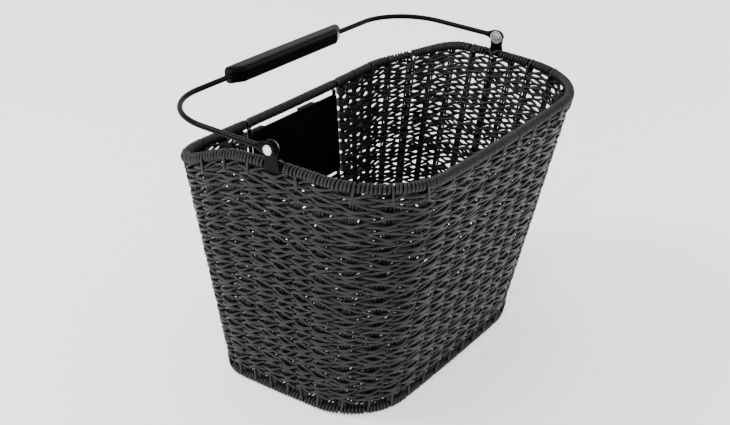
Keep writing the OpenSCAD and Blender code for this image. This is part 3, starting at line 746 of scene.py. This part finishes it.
def wrapping(at, ties, breaks, nodes, front_ends, up_sign, seed):
    """Winds a hoop between its ties and breaks, in a front and a rear piece."""
    builders = {node: Builder(seed + i) for i, node in enumerate(nodes)}
    front, rear = builders.values()

    def builder_at(v):
        return front if front_ends[0] < v < front_ends[1] else rear
    stops = []
    for v, gap in sorted([(v, TIE_GAP) for v, _ in ties] + breaks):
        half = gap / pace(at, v)
        stops.append((v - half, v + half))
    stops.append((stops[0][0] + PARTS, stops[0][1] + PARTS))
    for (_, a), (b, _) in zip(stops, stops[1:]):
        builder = builder_at(unwound((a + b) / 2))
        wrap_run(builder, at, a, b, builder.random.uniform(math.pi * 0.9, math.pi * 1.4))
    for v, wall_v in ties:
        builder = builder_at(v)
        reach = TIE_REACH + builder.random.uniform(-1, 1.5)
        tie(builder, at, v, wall_v, up_sign, reach, builder.random.uniform(-2.5, 2.5))
    for v, gap in breaks:
        crossing_canes(front if abs(v - FRONT_MIDDLE) < 2 else rear, at, v, gap)
    for node, builder in builders.items():
        finish_piece(builder.piece(node + "_cane"), CANE, "cane", "basket", node)


def tie_places():
    """Places of the ties on the top and base hoops, each with its place on the wall."""
    random = np.random.default_rng(5)
    top, base = [], []
    for v in STAKES:
        b, r = (float(x) for x in columns(v))
        from_group = abs(v - FRONT_MIDDLE) - (GROUP_V - FRONT_MIDDLE)
        base.append((unwound(b), v))
        if abs(from_group) < SAME:
            r = rear_places(EDGE_STAKE_X if v > 0 else -EDGE_STAKE_X)[1]
        near_pivot = min(abs(v - SIDE_UPRIGHT), abs(mirrored(v) - SIDE_UPRIGHT)) < PIVOT_CLEAR
        if not near_pivot and not from_group > 0.01 and random.random() < TIED_SHARE:
            top.append((unwound(r), v))
    return top, base


def hoops_and_wraps():
    """Both hoops with their wound cane, ties and breaks."""
    hoop("rim_hoop_wire", rim_at, "top_rim_hoop")
    hoop("base_hoop_wire", base_at, "base_rim_hoop")
    top_ties, base_ties = tie_places()
    sides = (mirrored(SIDE_UPRIGHT), SIDE_UPRIGHT)
    rods = (ROD_X + 3, -ROD_X - 3)
    breaks = [(v, WRAP_BREAK) for v in reversed(sides)]
    breaks += [(unwound(rear_places(x)[1]), ROD_BREAK) for x in rods]
    wrapping(rim_at, top_ties, breaks, ("top_wrap_front", "top_wrap_rear"), sides, -1, 500)
    wrapping(base_at, base_ties, [], ("base_wrap_front", "base_wrap_rear"), (-1.5, 2.5), 1, 520)


# ---- floor ----

def floor_span(points, across, place):
    """Ends of the floor along one axis where the other axis, across, is at place."""
    ends = points[np.abs(points[:, across] - place) < 1.2, 1 - across]
    return ends.min() + WRAP_R - 1.0, ends.max() - WRAP_R + 1.0


def floor():
    """Floor of canes: groups run front to rear, twined rows run across."""
    points = base_at(np.linspace(0, PARTS, 1600, endpoint=False))
    builder = Builder(700)
    random = builder.random
    for i in range(FLOOR_GROUPS):
        x = FLOOR_GROUP_STEP * (i - (FLOOR_GROUPS - 1) / 2)
        a, b = floor_span(points, 0, x)
        for k in (-1, 0, 1):
            t = np.linspace(0, 1, 24)
            sway = wander(random, t, FLOOR_SWAY, 3, 2)
            path = np.stack([x + FLOOR_CANE_STEP * k + sway, a + (b - a) * t,
                             FLOOR_MIDDLE + wander(random, t, FLOOR_WAVE, 3, 2)], -1)
            builder.tube(path, UP, *FLOOR_CANE[::-1])
    y0, y1 = points[:, 1].min() + FLOOR_EDGE, points[:, 1].max() - FLOOR_EDGE
    rows = int((y1 - y0) / FLOOR_ROW_STEP) + 1
    for i in range(rows):
        y = y0 + (y1 - y0) * i / (rows - 1)
        a, b = floor_span(points, 1, y)
        t = np.linspace(0, 1, int((b - a) / 2.5))
        x = a + (b - a) * t
        u = x / FLOOR_GROUP_STEP - 0.5
        drift = wander(random, t, FLOOR_DRIFT, 4, 5)
        for side in (1, -1):
            turn = (1 if i % 2 else -1) * side * FLOOR_TWIST
            level = np.tanh(FLOOR_FLATNESS * np.cos(math.pi * u)) / math.tanh(FLOOR_FLATNESS)
            path = np.stack([x, y + drift + turn * np.sin(math.pi * u),
                             FLOOR_MIDDLE + side * FLOOR_AMPLITUDE * level], -1)
            builder.tube(path, np.array([0, 1.0, 0]), *FLOOR_CANE)
    finish_piece(builder.piece("floor_canes"), CANE, "cane", "basket", "floor_weave")


# ---- solid parts ----

def dressed_copy(name, node, width, material, slot):
    """The CAD node's own shape with softened edges, as a piece of its own."""
    source = frame["nodes"][node]
    mesh = source.data.copy()
    mesh.name = name
    bm = bmesh.new()
    bm.from_mesh(mesh)
    bmesh.ops.remove_doubles(bm, verts=bm.verts, dist=1e-6)
    bmesh.ops.dissolve_limit(bm, angle_limit=math.radians(3), verts=bm.verts, edges=bm.edges)
    sharp = [e for e in bm.edges
             if len(e.link_faces) == 2 and e.calc_face_angle(0) > math.radians(28)]
    bmesh.ops.bevel(bm, geom=sharp, offset=width * MM, segments=3, profile=0.5,
                    affect="EDGES", clamp_overlap=True)
    bm.to_mesh(mesh)
    bm.free()
    finish_piece(smooth_piece(name, mesh), material, slot, "basket", node)


def solid_parts():
    """The steel and moulded parts that keep their CAD shape."""
    for side in ("left", "right"):
        for name, node, width, material, slot in (
                ("bracket_%s_tab", "bracket_%s", 0.35, PAINT, "black_steel"),
                ("pivot_rivet_%s_head", "pivot_rivet_%s", 0.2, ZINC, "bright_steel"),
                ("rivet_washer_%s_ring", "rivet_washer_%s", 0.2, ZINC, "bright_steel"),
                ("friction_washer_%s_ring", "friction_washer_%s", 0.15, MOULDED,
                 "coupling_plastic")):
            dressed_copy(name % side, node % side, width, material, slot)
    dressed_copy("inner_plate_sheet", "inner_plate", 0.5, PLATE, "black_steel")
    dressed_copy("outer_coupling_body", "outer_coupling", 0.6, MOULDED, "coupling_plastic")
    dressed_copy("coupling_bolt_set", "coupling_bolts", 0.5, PLATE, "black_steel")
    dressed_copy("coupling_washer_set", "coupling_washers", 0.2, PLATE, "black_steel")
    dressed_copy("coupling_nut_set", "coupling_nuts", 0.3, ZINC, "bright_steel")
    for node in ("frame_uprights", "rear_rod_left", "rear_rod_right", "cross_wires"):
        obj = frame["nodes"][node]
        obj.data.materials.clear()
        obj.data.materials.append(PAINT)


# ---- handle ----

def in_handle(points):
    """Points drawn with the handle level, turned into its stored place."""
    a = math.radians(HANDLE_ANGLE)
    p = np.asarray(points, float)
    y = p[..., 1] * math.cos(a) - p[..., 2] * math.sin(a)
    z = p[..., 1] * math.sin(a) + p[..., 2] * math.cos(a)
    return np.stack([p[..., 0], y + PIVOT_Y, z + PIVOT_Z], -1)


def rod_path(leg_x):
    """Middle line of the rod from one eyelet's end to the other's, with the handle level."""
    leg_end = HANDLE_REACH - HANDLE_BEND_R
    bend = np.radians(np.linspace(0, 90, 25))
    right = [(leg_x, y, 0) for y in np.linspace(-EYELET_R, leg_end, 60)[:-1]]
    right += [(leg_x - HANDLE_BEND_R * (1 - math.cos(a)), leg_end + HANDLE_BEND_R * math.sin(a), 0)
              for a in bend]
    right = np.array(right)
    straight_x = leg_x - HANDLE_BEND_R
    middle = np.stack([np.linspace(straight_x, -straight_x, 12)[1:-1],
                       np.full(10, HANDLE_REACH), np.zeros(10)], -1)
    return np.concatenate([right, middle, right[::-1] * [-1, 1, 1]])


def handle_rod():
    """Round rod whose two ends are hammered flat into eyelets."""
    leg_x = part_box("handle_rod")[1][0] / MM - HANDLE_ROD_R
    path = rod_path(leg_x)
    y = path[:, 1]
    neck = smooth(np.clip((y - 3) / (NECK_L - 3), 0, 1))
    round_end = np.sqrt(np.clip(1 - (np.minimum(y, 0) / EYELET_R) ** 2, 0.002, 1))
    wide = np.where(y < 0, EYELET_R * round_end, EYELET_R + (HANDLE_ROD_R - EYELET_R) * neck)
    thick = EYELET_T / 2 + (HANDLE_ROD_R - EYELET_T / 2) * neck
    level = in_handle(path * 0 + [0, 0, 1]) - in_handle(path * 0)
    builder = Builder(900)
    builder.tube(in_handle(path), level, wide, thick, sides=24)
    finish_piece(builder.piece("handle_rod_wire"), PAINT, "black_steel", "handle", "handle_rod")


GRIP_CUT_L, GRIP_CUT_W, GRIP_EDGE_R, GRIP_END_R = 13, 6.5, 4.8, 1.6


def grip_ring(x):
    """Section of the grip at x: a rounded oblong, smaller and cut back towards the ends."""
    half_l, half_w, half_t = GRIP_L / 2, GRIP_W / 2, GRIP_T / 2
    near_end = max(0.0, abs(x) - (half_l - GRIP_END_R))
    shrink = GRIP_END_R - math.sqrt(max(0.0, GRIP_END_R ** 2 - near_end ** 2))
    inner = -half_w + GRIP_CUT_W * max(0.0, (abs(x) - (half_l - GRIP_CUT_L)) / GRIP_CUT_L)
    crown = -0.5 * (x / half_l) ** 2
    y0, y1 = inner + shrink, half_w - shrink + crown
    z0, z1 = -half_t + shrink, half_t - shrink
    r = min(GRIP_EDGE_R, (y1 - y0) / 2 - 0.1)
    ring = []
    for cy, cz, start in ((y1 - r, z1 - r, 0), (y0 + r, z1 - r, 90),
                          (y0 + r, z0 + r, 180), (y1 - r, z0 + r, 270)):
        for a in np.radians(np.linspace(start, start + 90, 9)):
            ring.append((x, HANDLE_REACH + cy + r * math.cos(a), cz + r * math.sin(a)))
    return ring


def grip():
    """Moulded grip: rounded bar, cut back at both ends on the side towards the basket."""
    half_l, cut = GRIP_L / 2, GRIP_L / 2 - GRIP_CUT_L
    round_end = half_l - GRIP_END_R * (1 - np.sin(np.radians([0, 15, 30, 45, 60, 75, 90])))
    stations = np.r_[round_end, half_l - GRIP_END_R - 1.5, cut + 1.5, cut, cut - 1.5,
                     half_l * 0.6, half_l * 0.3, 0]
    rings = in_handle([grip_ring(x) for x in np.sort(np.unique(np.r_[stations, -stations]))])
    n, m = rings.shape[:2]
    bm = bmesh.new()
    verts = [bm.verts.new(Vector(p) * MM) for p in rings.reshape(-1, 3)]
    for i in range(n - 1):
        for j in range(m):
            a, b = i * m + j, i * m + (j + 1) % m
            bm.faces.new([verts[a], verts[b], verts[b + m], verts[a + m]])
    bm.faces.new(verts[:m])
    bm.faces.new(verts[(n - 1) * m:][::-1])
    bmesh.ops.recalc_face_normals(bm, faces=bm.faces)
    mesh = bpy.data.meshes.new("grip_moulding")
    bm.to_mesh(mesh)
    bm.free()
    finish_piece(smooth_piece("grip_moulding", mesh), GRIP, "grip_plastic", "handle", "grip")


# ---- stage, light and camera ----

def stage():
    """Pale floor with a soft glow, under an even sky."""
    bpy.ops.mesh.primitive_plane_add(size=12, location=(0, 0, -0.0002))
    ground = bpy.context.object
    ground.name = "studio_floor"
    mat, _, _, shader = node_material("pale_floor")
    shader.inputs["Base Color"].default_value = (0.9, 0.9, 0.9, 1)
    shader.inputs["Roughness"].default_value = 0.9
    shader.inputs["Specular IOR Level"].default_value = 0.1
    shader.inputs["Emission Color"].default_value = (1, 1, 1, 1)
    shader.inputs["Emission Strength"].default_value = FLOOR_GLOW
    ground.data.materials.append(mat)
    world = bpy.data.worlds.new("studio")
    world.use_nodes = True
    back = world.node_tree.nodes["Background"]
    back.inputs["Color"].default_value = (1, 1, 1, 1)
    back.inputs["Strength"].default_value = SKY
    bpy.context.scene.world = world


def softbox(name, place, size, power):
    """A square area light that faces the middle of the basket."""
    light = bpy.data.lights.new(name, "AREA")
    light.shape = "RECTANGLE"
    light.size = light.size_y = size
    light.energy = power
    obj = bpy.data.objects.new(name, light)
    obj.location = place
    obj.rotation_mode = "QUATERNION"
    obj.rotation_quaternion = (Vector((0, 0, 0.13)) - Vector(place)).to_track_quat("-Z", "Y")
    linked(obj)


def lights():
    """Four soft lights round the basket, the strongest ones behind and to its left."""
    softbox("top", (0.2, 0.2, 2.6), 2.4, 20)
    softbox("left", (-2.2, -0.5, 0.7), 0.5, 24)
    softbox("front_right", (1.7, -1.1, 1.1), 0.5, 3)
    softbox("rear_left", (-1.0, 1.2, 1.7), 0.5, 30)


def camera():
    """Camera at the front left, looking down into the basket."""
    heading, pitch = math.radians(54.378), math.radians(25.803)
    data = bpy.data.cameras.new("camera")
    data.sensor_width = 36
    data.lens = 58.82
    data.shift_x = 0.0055
    data.clip_start, data.clip_end = 0.01, 50
    obj = bpy.data.objects.new("camera", data)
    obj.location = (-0.8462, -0.5709, 0.6319)
    obj.rotation_euler = (math.pi / 2 - pitch, 0, -heading)
    bpy.context.scene.camera = linked(obj)


camera()
stage()
lights()
hoops_and_wraps()
weave()
stakes()
floor()
solid_parts()
handle_rod()
grip()
